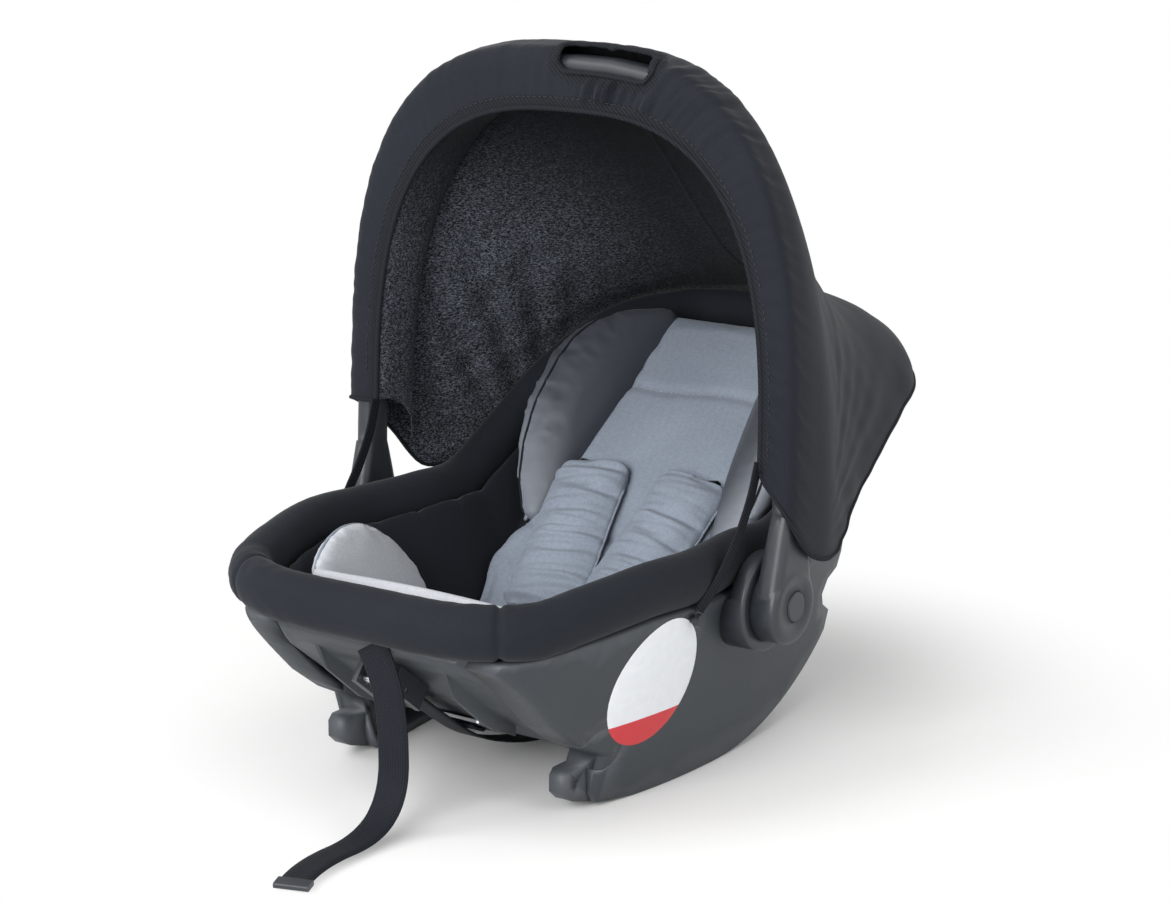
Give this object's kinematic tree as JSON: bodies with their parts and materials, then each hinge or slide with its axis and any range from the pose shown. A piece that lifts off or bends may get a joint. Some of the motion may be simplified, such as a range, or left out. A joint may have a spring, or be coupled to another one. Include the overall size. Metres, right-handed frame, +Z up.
{
  "type": "infant car seat",
  "caption": "Rear-facing infant carrier: padded shell with swinging carry handle, stretch canopy, harness with buckle, front strap adjuster and belt hooks.",
  "frame": {"origin": "on the floor, under the middle of the seat's box without the free strap tail", "axes": "+X across towards the seated child's left, +Y from the feet to the head end, +Z up"},
  "size_m": [0.445, 0.7789, 0.5682],
  "materials": {
    "shell_plastic": "fine moulded grain",
    "foam": "bead foam",
    "handle_plastic": "fine moulded grain",
    "trim_plastic": "satin",
    "red_plastic": "gloss",
    "steel": "bright zinc plate",
    "cover_cloth": "knitted jersey",
    "insert_cloth": "brushed knit",
    "wing_cloth": "satin knit",
    "light_cloth": "brushed knit",
    "webbing": "ribbed webbing",
    "canopy_cloth": "woven stretch cloth"
  },
  "bodies": {
    "seat": {"seat_tub": "shell_plastic", "side_skirt_left": "shell_plastic", "side_skirt_right": "shell_plastic", "belt_hook_left": "shell_plastic", "belt_hook_right": "shell_plastic", "shell_foam": "foam", "hub_boss_left": "handle_plastic", "hub_boss_right": "handle_plastic", "canopy_knob_left": "trim_plastic", "canopy_knob_right": "trim_plastic", "buckle_housing": "trim_plastic", "strap_stop": "trim_plastic", "adjuster_housing": "trim_plastic", "pivot_pin_left": "steel", "pivot_pin_right": "steel", "harness_yoke": "steel", "buckle_tongue_left": "steel", "buckle_tongue_right": "steel", "crotch_anchor": "steel", "lap_anchor_left": "steel", "lap_anchor_right": "steel", "lever_pin": "steel", "rim_roll": "cover_cloth", "cover_lining": "cover_cloth", "back_pad": "insert_cloth", "seat_pad": "insert_cloth", "shoulder_pad_left": "insert_cloth", "shoulder_pad_right": "insert_cloth", "head_wing_left": "wing_cloth", "head_wing_right": "wing_cloth", "front_band": "light_cloth", "leg_wing_left": "light_cloth", "leg_wing_right": "light_cloth", "shoulder_strap_left": "webbing", "shoulder_strap_right": "webbing", "lap_strap_left": "webbing", "lap_strap_right": "webbing", "crotch_strap": "webbing", "strap_run": "webbing", "strap_tail": "webbing", "canopy": "canopy_cloth", "canopy_elastic_left": "canopy_cloth", "canopy_elastic_right": "canopy_cloth"},
    "handle": {"handle_bar": "handle_plastic"},
    "left_button": {"release_button_left": "trim_plastic", "lock_gear_left": "trim_plastic"},
    "right_button": {"release_button_right": "trim_plastic", "lock_gear_right": "trim_plastic"},
    "buckle_press": {"buckle_button": "red_plastic"},
    "adjuster": {"adjuster_lever": "steel"}
  },
  "joints": [
    {"name": "handle_swing", "type": "hinge", "parent": "seat", "child": "handle", "pos_m": [0, -0.04425, 0.144], "axis": [-1, 0, 0], "range_deg": [0, 100], "deforming": ["canopy", "canopy_elastic_left", "canopy_elastic_right"]},
    {"name": "left_button_press", "type": "slide", "parent": "handle", "child": "left_button", "axis": [-1, 0, 0], "range_m": [0, 0.004], "stiffness_N_per_m": 600},
    {"name": "right_button_press", "type": "slide", "parent": "handle", "child": "right_button", "axis": [1, 0, 0], "range_m": [0, 0.004], "stiffness_N_per_m": 600},
    {"name": "buckle_button_press", "type": "slide", "parent": "seat", "child": "buckle_press", "axis": [0, -0.4924, -0.8704], "range_m": [0, 0.0035], "stiffness_N_per_m": 600},
    {"name": "adjuster_lift", "type": "hinge", "parent": "seat", "child": "adjuster", "pos_m": [0, -0.28547, 0.10364], "axis": [-1, 0, 0], "range_deg": [0, 12], "stiffness_Nm_per_rad": 0.3}
  ]
}
